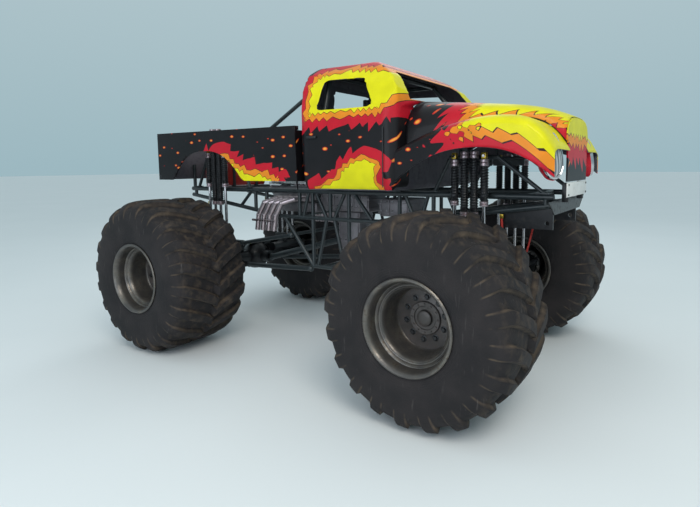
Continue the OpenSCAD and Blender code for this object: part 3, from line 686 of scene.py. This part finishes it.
def fender(side):
    name = f"front_fender_{side}"
    data = skin_of(name, round_levels=2)
    co = coordinates(data)
    x, y, z = co.T
    lip = 1.800 + 0.373 * (1 - np.abs((x - 1.870) / np.where(x < 1.870, 0.840, 0.760)) ** 2.3)
    up = (z - lip) + 0.35 * (0.97 - np.abs(y))
    depth = np.minimum(0.75 * up + 0.01, 0.5 * (x - 1.58) + 0.045 * np.sin(45 * z - 20 * x))
    out = SIDES[side]
    panel(name, data, depth, x + 0.8 * z, lambda c, n: out * n.y + 0.8 * n.z + 0.6 * n.x < -0.05)


def bed_side(side):
    name = f"bed_side_{side}"
    data = skin_of(name, 0.05)
    co = coordinates(data)
    out = SIDES[side]
    panel(name, data, *outline_field(co[:, (0, 2)], BED_FLAME), lambda c, n: n.y * out < -0.5)


def plain_panel(name, inwards):
    """A panel with no flame on it."""
    data = skin_of(name, 0.08)
    co = coordinates(data)
    panel(name, data, np.full(len(co), -1.0), co[:, 1], lambda c, n: n.x * inwards > 0.5)


cab()
hood()
nose_panel()
for side in SIDES:
    fender(side)
    bed_side(side)
plain_panel("tailgate", 1)
plain_panel("bed_front_wall", -1)


def trim():
    """Tailgate ribs, door seams and handles, and the plain number plate with its hangers."""
    kit = Kit()
    out = 0.966
    low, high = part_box("tailgate")
    for k in (-1, 1):
        y = k * (high.y - 0.20)
        kit.block((low.x - 0.004, y - 0.09, low.z + 0.05), (low.x + 0.006, y + 0.09, high.z - 0.05), 0.008, 0)
    a, b = (low.x - 0.003, low.y + 0.42, low.z + 0.08), (low.x + 0.006, high.y - 0.42, high.z - 0.10)
    kit.block(a, b, 0.012, 0)
    for k in (-1, 1):
        kit.tube([(0.985, k * out, z) for z in np.linspace(1.83, 2.38, 8)], 0.005, 8, 1)
        kit.block((0.10, k * 0.972 - 0.012, 2.30), (0.22, k * 0.972 + 0.012, 2.325), 0.006, 0)
    kit.make("body_trim", "chassis", "flame_paint", PAINT["plastic"], PAINT["axle"])
    plate = Kit()
    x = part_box("nose_panel")[1].x
    plate.block((x - 0.006, -0.40, 1.745), (x + 0.006, 0.40, 1.872), 0.005, 0)
    for y in (-0.36, 0.36):
        for z in (1.765, 1.852):
            plate.hexagon((x + 0.006, y, z), (1, 0, 0), 0.016, 0.006, 1)
    for y in (-0.30, 0.30):
        plate.block((x - 0.060, y - 0.02, 1.700), (x - 0.004, y + 0.02, 1.870), 0.004, 1)
    plate.make("blank_front_plate", "chassis", "trim_black", PAINT["plate"], PAINT["axle"])


# Lamp profiles as share of its half size, push outwards in metres: painted bucket and chromed bezel
BUCKET = [(0.45, -0.13), (0.85, -0.10), (1.10, -0.05), (1.16, -0.015)]
BEZEL = [(1.12, -0.02), (1.14, 0.0), (1.12, 0.014), (1.06, 0.020), (1.0, 0.016), (0.99, 0.0)]
LAMP_TALL, LAMP_WIDE = 0.17, 0.085
LAMP_RINGS, LAMP_STEPS = 10, 40


def lamp_glass():
    """Pressed glass over a silvered bowl, with vertical ribs under a clean, hard gloss; the ribs' pale and
    dark stripes are painted light and shade.
    """
    gloss = {"Coat_Weight": 1.0, "Coat_Roughness": 0.03}
    made, tree, shader = finish_of("pressed_lamp_glass", "#c8ced2", 0.0, 0.08, **gloss)
    at = node(tree, "TexCoord", output="Object")
    ribs = node(tree, "TexWave", {"Vector": at, "Scale": 12.0}, 1, bands_direction="Y")
    # Pale on each rib and dark between them: painted light and shade of the ribs
    colours = {0: ribs, 6: linear("#5d666b"), 7: linear("#b3b9bb")}
    tree.links.new(node(tree, "Mix", colours, 2, data_type="RGBA"), shader.inputs["Base Color"])
    relief(tree, shader, ribs, 3.0, 0.6)
    return made


def headlight(side, glass):
    """A tall oval lamp on a fender, turned outwards and up."""
    across = SIDES[side]
    kit = Kit()
    steps = LAMP_STEPS
    centre = Vector((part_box(f"front_fender_{side}")[1].x - 0.072, across * 0.71, 2.095))
    turn = Matrix.Rotation(across * math.radians(38), 3, "Z") @ Matrix.Rotation(math.radians(-8), 3, "Y")

    def at(share, push, a):
        squeeze = 1 - 0.18 * math.sin(a)
        flat = (share * LAMP_WIDE * squeeze * math.cos(a), share * LAMP_TALL * math.sin(a))
        return centre + turn @ Vector((push, *flat))

    def dish(profile, finish):
        points = [at(s, p, 2 * math.pi * k / steps) for s, p in profile for k in range(steps)]
        faces = []
        for a in range(0, (len(profile) - 1) * steps, steps):
            b = a + steps
            faces += [(a + k, a + (k + 1) % steps, b + (k + 1) % steps, b + k) for k in range(steps)]
        faces.append(tuple(range(steps)))
        faces.append(tuple(reversed(range((len(profile) - 1) * steps, len(profile) * steps))))
        kit.add(points, faces, finish)

    quarter = [t * math.pi / 2 for t in np.linspace(0.05, 0.97, LAMP_RINGS)]
    dish(BUCKET, 2)
    dish(BEZEL, 0)
    dish([(1.0, 0.004)] + [(math.cos(t), 0.006 + 0.028 * math.sin(t)) for t in quarter], 1)
    kit.make(f"headlight_{side}", "chassis", "flame_paint", PAINT["chrome"], glass, PAINT["body"])


trim()
GLASS = lamp_glass()
for side in SIDES:
    headlight(side, GLASS)


# ------------------------------------------------------------ springs, pipes and engine


AXLE_X = 1.6765
SHOCK_Y = 0.600
# The eight shocks stand in two pairs on each side: the inner ones reach the tower's top
INNER, OUTER = 0.047, 0.142
INNER_FOOT_ABOVE, OUTER_BODY = 1.560, 0.420
OUTER_DROP = {"front": 0.070, "rear": 0.290}
COIL_RADIUS, WIRE_RADIUS, PITCH, COIL_STEPS = 0.034, 0.0066, 0.023, 14


def cap_profile(tall):
    """A grooved end cap."""
    return [
        (0, 0), (0.036, 0), (0.040, 0.005), (0.040, tall * 0.4), (0.034, tall * 0.5), (0.040, tall * 0.6),
        (0.040, tall - 0.004), (0.034, tall), (0, tall),
    ]


def absorbers(end):
    """Coil-over shock absorbers: black springs round a body, with pale caps, and a bright rod below."""
    low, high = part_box(f"shocks_{end}")
    middle = ENDS[end] * AXLE_X
    kit = Kit()
    foot = low.z
    tops = {INNER: high.z, OUTER: high.z - OUTER_DROP[end]}
    for across in SIDES.values():
        for k in (-1, 1):
            for off, top in tops.items():
                x, y = middle + k * off, across * SHOCK_Y
                body = top - INNER_FOOT_ABOVE if off == INNER else OUTER_BODY
                start = top - body
                rod = [(0, 0), (0.017, 0), (0.017, start - foot), (0, start - foot)]
                kit.turned(rod, (x, y, foot), UP, 20, 2)
                tube = [(0, 0), (0.022, 0), (0.032, 0.02), (0.032, body - 0.05), (0, body - 0.05)]
                kit.turned(tube, (x, y, start), UP, 24, 3)
                for z, tall in ((start, 0.046), (top - 0.062, 0.062)):
                    kit.turned(cap_profile(tall), (x, y, z), UP, 28, 1)
                count = int((body - 0.13) / PITCH) * COIL_STEPS
                spring = []
                for i in range(count + 1):
                    a = 2 * math.pi * i / COIL_STEPS
                    z = start + 0.052 + i / count * (body - 0.125)
                    spring.append((x + COIL_RADIUS * math.cos(a), y + COIL_RADIUS * math.sin(a), z))
                kit.tube(spring, WIRE_RADIUS, 5, 0)
    looks = (PAINT["spring"], PAINT["cap"], PAINT["rod"], PAINT["axle"])
    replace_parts(kit.make(f"coil_shocks_{end}", "chassis", "shock_body", *looks), f"shocks_{end}")
    blocks = Kit()
    for across in SIDES.values():
        for k in (-1, 1):
            x, y, top = middle + k * OUTER, across * SHOCK_Y, tops[OUTER]
            blocks.block((x - 0.022, y - 0.026, top + 0.004), (x + 0.022, y + 0.026, top + 0.060), 0.004, 0)
            blocks.hexagon((x, y + across * 0.026, top + 0.030), (0, across, 0), 0.026, 0.010, 1)
    blocks.make(f"shock_top_blocks_{end}", "chassis", "shock_body", PAINT["gold"], PAINT["rod"])


for end in ENDS:
    absorbers(end)


def exhaust_details():
    """Flanges with bolts where the pipes leave the block, and the strap across their ends."""
    kit = Kit()
    for across in SIDES.values():
        y = across * 0.300
        for i in range(4):
            x = -1.050 + i * 0.090
            kit.block((x + 0.272, y - 0.006, 1.615), (x + 0.348, y + 0.006, 1.695), 0.004, 0)
            for dx in (-0.030, 0.030):
                for dz in (-0.032, 0.032):
                    at = (x + 0.310 + dx, across * 0.306, 1.655 + dz)
                    kit.hexagon(at, (0, across, 0), 0.013, 0.008, 1)
        y = across * 0.590
        kit.block((-1.100, y - 0.004, 1.385), (-0.735, y + 0.004, 1.412), 0.003, 0)
        for i in range(5):
            x = -1.086 + i * 0.0845
            kit.hexagon((x, y + across * 0.004, 1.398), (0, across, 0), 0.016, 0.009, 1)
    kit.make("exhaust_flanges", "chassis", "pipe_steel", PAINT["pipe"], PAINT["rod"])


BANK_ANGLE = 40
# Pulleys of the belt drive, front on: y, height over the engine's foot, middle or top, radius
PULLEYS = (
    (0.0, "foot", 0.16, 0.085), (0.0, "top", -0.13, 0.075),
    (0.15, "middle", 0, 0.05), (-0.15, "middle", -0.03, 0.05),
)


def engine():
    """A V8 with cast block, finned rocker covers, intake and belt drive, in the space of the plain block."""
    low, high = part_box("engine")
    kit = Kit()
    mid = (low + high) / 2
    kit.block((low.x + 0.06, -0.17, low.z + 0.12), (high.x - 0.05, 0.17, mid.z + 0.02), 0.02, 0)
    kit.block((low.x + 0.10, -0.13, low.z), (high.x - 0.10, 0.13, low.z + 0.13), 0.03, 1)
    for across in SIDES.values():
        turn = Matrix.Rotation(-across * math.radians(BANK_ANGLE), 3, "X")
        about = Vector((mid.x, across * 0.19, mid.z + 0.02))
        # Inset at the rear and the front, then y and z from the bank's middle: head, cover and its fins
        parts = [(0.07, 0.06, -0.085, 0.085, -0.13, 0.06, 0.012, 1)]
        parts.append((0.09, 0.08, -0.065, 0.065, 0.06, 0.125, 0.016, 2))
        for k in range(7):
            fin = -0.045 + k * 0.015
            parts.append((0.14, 0.13, fin - 0.003, fin + 0.003, 0.12, 0.134, 0.002, 2))
        for rear, front, y0, y1, z0, z1, bevel, finish in parts:
            a = (low.x + rear, about.y + y0, about.z + z0)
            b = (high.x - front, about.y + y1, about.z + z1)
            kit.block(a, b, bevel, finish, turn, about)
    kit.block((low.x + 0.13, -0.10, mid.z + 0.02), (high.x - 0.13, 0.10, high.z - 0.19), 0.015, 1)
    kit.block((low.x + 0.17, -0.12, high.z - 0.19), (high.x - 0.15, 0.12, high.z - 0.05), 0.04, 1)
    for k in range(12):
        x = low.x + 0.20 + k * (high.x - low.x - 0.42) / 11
        kit.block((x - 0.004, -0.125, high.z - 0.16), (x + 0.004, 0.125, high.z - 0.044), 0.002, 1)
    kit.block((low.x + 0.22, -0.09, high.z - 0.06), (high.x - 0.20, 0.09, high.z), 0.02, 2)
    level = {"foot": low.z, "middle": mid.z, "top": high.z}
    for y, base, above, r in PULLEYS:
        groove = [
            (0, 0), (r, 0), (r, 0.006), (r * 0.92, 0.010), (r * 0.92, 0.028), (r, 0.032), (r, 0.038),
            (r * 0.4, 0.038), (r * 0.35, 0.030), (0, 0.030),
        ]
        kit.turned(groove, (high.x - 0.045, y, level[base] + above), (1, 0, 0), 32, 2)
    piece = kit.make("v8_engine", "chassis", "axle_paint", PAINT["axle"], PAINT["cast"], PAINT["chrome"])
    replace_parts(piece, "engine")


# Corners of the gearbox, the transfer case and the drop box
HOUSINGS = (
    ((-0.3797, -0.200, 1.500), (0.320, 0.200, 1.710)),
    ((0.450, -0.220, 1.4693), (0.840, 0.220, 1.6793)),
    ((-0.160, -0.150, 1.040), (0.160, 0.150, 1.510)),
)
RIB_PITCH, BOLT_PITCH = 0.085, 0.07


def gearbox():
    """Ribbed cast housings with bolted flanges in the space of the plain ones."""
    kit = Kit()
    inset = Vector((0.01, 0.01, 0.008))
    for a, b in HOUSINGS:
        a, b = Vector(a), Vector(b)
        kit.block(a + inset, b - inset, 0.022, 0)
        tall, long = b.z - a.z, b.x - a.x
        ribs = max(3, int(long / RIB_PITCH))
        for k in range(ribs):
            x = a.x + 0.03 + k * (long - 0.06) / (ribs - 1)
            kit.block((x - 0.006, a.y, a.z + 0.02), (x + 0.006, b.y, b.z - 0.02), 0.003, 0)
        for z in (a.z + 0.25 * tall, a.z + 0.72 * tall):
            kit.block((a.x, a.y + 0.004, z - 0.008), (b.x, b.y - 0.004, z + 0.008), 0.003, 0)
            for y, out in ((a.y + 0.006, -1), (b.y - 0.006, 1)):
                for k in range(int(long / BOLT_PITCH)):
                    at = (a.x + 0.045 + k * BOLT_PITCH, y + out * -0.004, z + 0.02)
                    kit.hexagon(at, (0, out, 0), 0.013, 0.006, 1)
    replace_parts(kit.make("cast_gearbox", "chassis", "cast_alloy", PAINT["cast"], PAINT["rod"]), "gearbox")


exhaust_details()
engine()
gearbox()


# ------------------------------------------------------------ driver's place


def vinyl():
    """Calendered vinyl over foam: black leather grain with a soft sheen, drawn coarse so that it shows."""
    made, tree, shader = finish_of("calendered_vinyl", "#1a191b", 0, 0.5, Specular_IOR_Level=0.45)
    cells = {"Vector": node(tree, "TexCoord", output="Object"), "Scale": 1000 / 6}
    grain = node(tree, "TexVoronoi", cells, "Distance", feature="DISTANCE_TO_EDGE")
    share = node(tree, "MapRange", (blotches(tree, 90), 0.4, 0.7))
    colours = {0: share, 6: linear("#181719"), 7: linear("#252427")}
    tree.links.new(node(tree, "Mix", colours, 2, data_type="RGBA"), shader.inputs["Base Color"])
    relief(tree, shader, node(tree, "MapRange", (grain, 0, 0.3)), 0.6, 0.6)
    return made


CUSHION_CUTS = 26
SEAM_WIDTH = 0.035  # as a share of the pad's half length


def cushion(low, high, name, channels, slot, finish, lean=0.0):
    """A crowned pad with pulled-in sides and sewn channels across it."""
    low, high = Vector(low), Vector(high)
    centre, size = (low + high) / 2, (high - low) / 2
    work = bmesh.new()
    bmesh.ops.create_cube(work, size=2)
    bmesh.ops.subdivide_edges(work, edges=work.edges[:], cuts=CUSHION_CUTS, use_grid_fill=True)
    sewn = [2 * (k + 1) / (channels + 1) - 1 for k in range(channels)]
    for v in work.verts:
        thin = min(range(3), key=lambda i: size[i])
        wide = [i for i in range(3) if i != thin]
        a, b = (v.co[i] for i in wide)
        crown = (1 - abs(a) ** 4) * (1 - abs(b) ** 4)
        seam = sum(math.exp(-(((b - line) / SEAM_WIDTH) ** 2)) for line in sewn)
        t = v.co[thin]
        v.co[thin] = t * (0.55 + 0.43 * crown - 0.20 * seam * crown)
        pull = 1 - 0.05 * (1 - abs(t)) - 0.03 * abs(t)
        for i in wide:
            v.co[i] *= pull
    for v in work.verts:
        c = Vector([centre[i] + v.co[i] * size[i] for i in range(3)])
        c.x -= lean * (c.z - low.z)
        v.co = c
    data = bpy.data.meshes.new(name)
    work.to_mesh(data)
    work.free()
    piece = shown(name, data, "chassis", slot, finish, smooth_angle=0)
    return piece


def seat():
    skin = vinyl()
    low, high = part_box("seat")
    shell = Kit()
    width = high.y
    shell.block((low.x + 0.06, -width + 0.02, low.z), (high.x - 0.02, width - 0.02, low.z + 0.13), 0.02, 0)
    for k in (-1, 1):
        y = k * (width - 0.015)
        for x0, x1, z0, z1 in ((0.36, 0.74, 1.93, 2.10), (0.30, 0.44, 2.10, 2.40)):
            shell.block((x0, y - 0.012, z0), (x1, y + 0.012, z1), 0.010, 0)
    back = [(0.285, 2.02), (0.275, 2.40), (0.272, 2.74)]
    for (x0, z0), (x1, z1) in zip(back, back[1:]):
        shell.block((min(x0, x1), -width + 0.03, z0), (min(x0, x1) + 0.03, width - 0.03, z1), 0.010, 0)
    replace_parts(shell.make("seat_shell", "chassis", "trim_black", PAINT["plastic"]), "seat")
    half = width - 0.035
    cushion((0.40, -half, low.z + 0.13), (high.x, half, 2.062), "seat_cushion", 4, "trim_black", skin)
    back_low, back_high = (0.345, -half, 2.06), (0.465, half, 2.755)
    cushion(back_low, back_high, "seat_back_cushion", 5, "trim_black", skin, lean=0.12)
    belts = Kit()
    for k in (-1, 1):
        y = k * 0.10
        route = [(0.385, y, 2.66), (0.425, y, 2.52), (0.452, y, 2.34), (0.478, y * 0.8, 2.20)]
        belts.ribbon([*route, (0.52, y * 0.5, 2.09)], 0.002, 0.024, 0.003, 0.0015)
    belts.block((0.505, -0.035, 2.065), (0.535, 0.035, 2.105), 0.006, 1)
    belts.make("seat_harness", "chassis", "trim_black", PAINT["strap"], PAINT["chrome"])


WHEEL_RADIUS, SPOKE = 0.158, 0.150


def steering_wheel():
    """Padded rim with three spokes, a boss and its column."""
    low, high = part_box("steering_wheel")
    centre = Vector((0.860, 0, 2.430))
    turn = Matrix.Rotation(math.radians(-60), 3, "Y")
    kit = Kit()
    ring = [centre + turn @ Vector((*pair, 0)) for pair in circle(48, WHEEL_RADIUS)]
    kit.tube(ring, 0.015, 12, 0, closed=True)
    for degrees in (90, 210, 330):
        a = math.radians(degrees)
        tip = centre + turn @ Vector((SPOKE * math.cos(a), SPOKE * math.sin(a), 0))
        kit.tube([centre + turn @ Vector((0, 0, -0.012)), tip], 0.008, 8, 1)
    axis = -(turn @ Vector(UP))
    boss = [(0, -0.03), (0.045, -0.03), (0.05, -0.01), (0.03, 0.04), (0.022, 0.06), (0, 0.06)]
    kit.turned(boss, centre, axis, 28, 1)
    reach = min((high.x - 0.03 - centre.x) / max(axis.x, 0.1), (centre.z - low.z) / max(abs(axis.z), 0.1))
    kit.tube([centre, centre + axis * max(0.1, reach)], 0.02, 12, 1)
    piece = kit.make("padded_steering_wheel", "chassis", "trim_black", PAINT["plastic"], PAINT["axle"])
    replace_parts(piece, "steering_wheel")


seat()
steering_wheel()


# ------------------------------------------------------------ chassis details


FILLER_CAP = [(0, 0), (0.075, 0), (0.075, 0.018), (0.060, 0.020), (0.060, 0.042), (0.052, 0.045), (0, 0.045)]


def fuel_cell():
    """Moulded red cell in a strapped cradle, with a filler cap."""
    low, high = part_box("fuel_cell")
    kit = Kit()
    kit.block(low + Vector((0.006, 0.006, 0.004)), high - Vector((0.006, 0.006, 0.045)), 0.035, 0)
    for k in (-1, 1):
        y = k * 0.20
        kit.block((low.x, y - 0.025, low.z), (high.x, y + 0.025, high.z - 0.040), 0.005, 1)
    filler = Vector((low.x + 0.19, 0, high.z))
    kit.turned(FILLER_CAP, filler - Vector((0, 0, 0.046)), UP, 36, 2)
    for x, y in circle(12, 0.067):
        kit.hexagon(filler + Vector((x, y, -0.028)), UP, 0.010, 0.006, 2)
    looks = (PAINT["tank"], PAINT["axle"], PAINT["cast"])
    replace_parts(kit.make("strapped_fuel_cell", "chassis", "tank_paint", *looks), "fuel_cell")


def limit_straps():
    """Red limit straps with gold brackets, two at each axle."""
    kit = Kit()
    for end in ENDS.values():
        for across in SIDES.values():
            x, y = end * 1.95, across * 0.505
            path = [(x, y, 1.56), (x + 0.01, y, 1.42), (x - 0.02, y, 1.28), (x - 0.06, y * 0.98, 1.10)]
            kit.ribbon(path, 0.010, 0.003, 0.004, 0.002)
            kit.block((x - 0.018, y - 0.010, 1.55), (x + 0.018, y + 0.010, 1.59), 0.004, 1)
    kit.make("limit_straps", "chassis", "frame_paint", PAINT["strap"], PAINT["gold"])


fuel_cell()
limit_straps()

FINISHES = {
    "frame": [
        "links_front", "links_rear", "drive_shafts", "top_rails", "lower_rails", "belly_rails",
        "chassis_braces", "cross_members", "front_towers", "rear_towers", "roll_cage", "cage_stays",
    ],
    "axle": ["axle_front", "axle_rear", "tie_rod_front", "tie_rod_rear", "front_bumper"]
    + [f"knuckle_{end}_{side}" for end in ENDS for side in SIDES],
    "rod": ["ram_rod_front", "ram_rod_rear"],
    "pipe": ["exhaust_pipes"],
}
for finish, names in FINISHES.items():
    for name in names:
        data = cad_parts[name].data
        data.materials.clear()
        data.materials.append(PAINT[finish])


# ------------------------------------------------------------ floor, light and camera


FLOOR_HALF = 150.0
SKY_STRENGTH = 0.85
# Lamps: name, place, size in metres, power in watts, colour
LAMPS = (
    ("key", (7.0, -7.0, 9.0), 5.0, 560, "#fff8ee"),
    ("fill", (1.0, -10.0, 3.5), 6.0, 260, "#eef4ff"),
    ("rim", (-4.0, 9.0, 8.0), 6.0, 140, "#ffffff"),
)
AIM = Vector((0, 0, 1.2))


def stage():
    """A pale floor without an end, a sky that darkens to the horizon, and three soft lamps."""
    made, tree, shader = finish_of("studio_floor", "#e6eaec", 0, 0.9)
    colours = {0: blotches(tree, 2500), 6: linear("#e3e8ea"), 7: linear("#eaeef0")}
    tree.links.new(node(tree, "Mix", colours, 2, data_type="RGBA"), shader.inputs["Base Color"])
    data = bpy.data.meshes.new("floor")
    corners = [(x, y, 0.0) for x in (-FLOOR_HALF, FLOOR_HALF) for y in (-FLOOR_HALF, FLOOR_HALF)]
    data.from_pydata(corners, [], [(0, 2, 3, 1)])
    data.materials.append(made)
    floor = bpy.data.objects.new("floor", data)
    bpy.context.scene.collection.objects.link(floor)
    world = bpy.data.worlds.new("studio")
    bpy.context.scene.world = world
    world.use_nodes = True
    sky = world.node_tree
    height = node(sky, "SeparateXYZ", (node(sky, "TexCoord", output="Generated"),), "Z")
    shade = {0: node(sky, "MapRange", (height, 0.0, 0.8)), 6: linear("#a9c6cf"), 7: linear("#d5e4e8")}
    back = sky.nodes["Background"]
    sky.links.new(node(sky, "Mix", shade, 2, data_type="RGBA"), back.inputs["Color"])
    back.inputs["Strength"].default_value = SKY_STRENGTH
    bpy.context.scene.view_settings.view_transform = "Standard"
    for name, at, size, power, colour in LAMPS:
        lamp = bpy.data.lights.new(name, "AREA")
        lamp.size = size
        lamp.energy = power
        lamp.color = linear(colour)[:3]
        holder = bpy.data.objects.new(name, lamp)
        holder.location = at
        holder.rotation_euler = (AIM - Vector(at)).to_track_quat("-Z", "Y").to_euler()
        bpy.context.scene.collection.objects.link(holder)


def camera():
    data = bpy.data.cameras.new("camera")
    data.sensor_width = 36
    data.lens = 26.56
    data.shift_x = -0.049
    data.shift_y = -0.046
    holder = bpy.data.objects.new("camera", data)
    yaw, pitch, roll = (math.radians(a) for a in (121.98, -6.11, -0.39))
    ahead = Vector((math.cos(pitch) * math.cos(yaw), math.cos(pitch) * math.sin(yaw), math.sin(pitch)))
    holder.rotation_mode = "QUATERNION"
    level = ahead.to_track_quat("-Z", "Y")
    holder.rotation_quaternion = level @ Matrix.Rotation(roll, 3, "Z").to_quaternion()
    holder.location = (3.498, -4.969, 2.025)
    bpy.context.scene.collection.objects.link(holder)
    bpy.context.scene.camera = holder


stage()
camera()
bpy.context.view_layer.update()
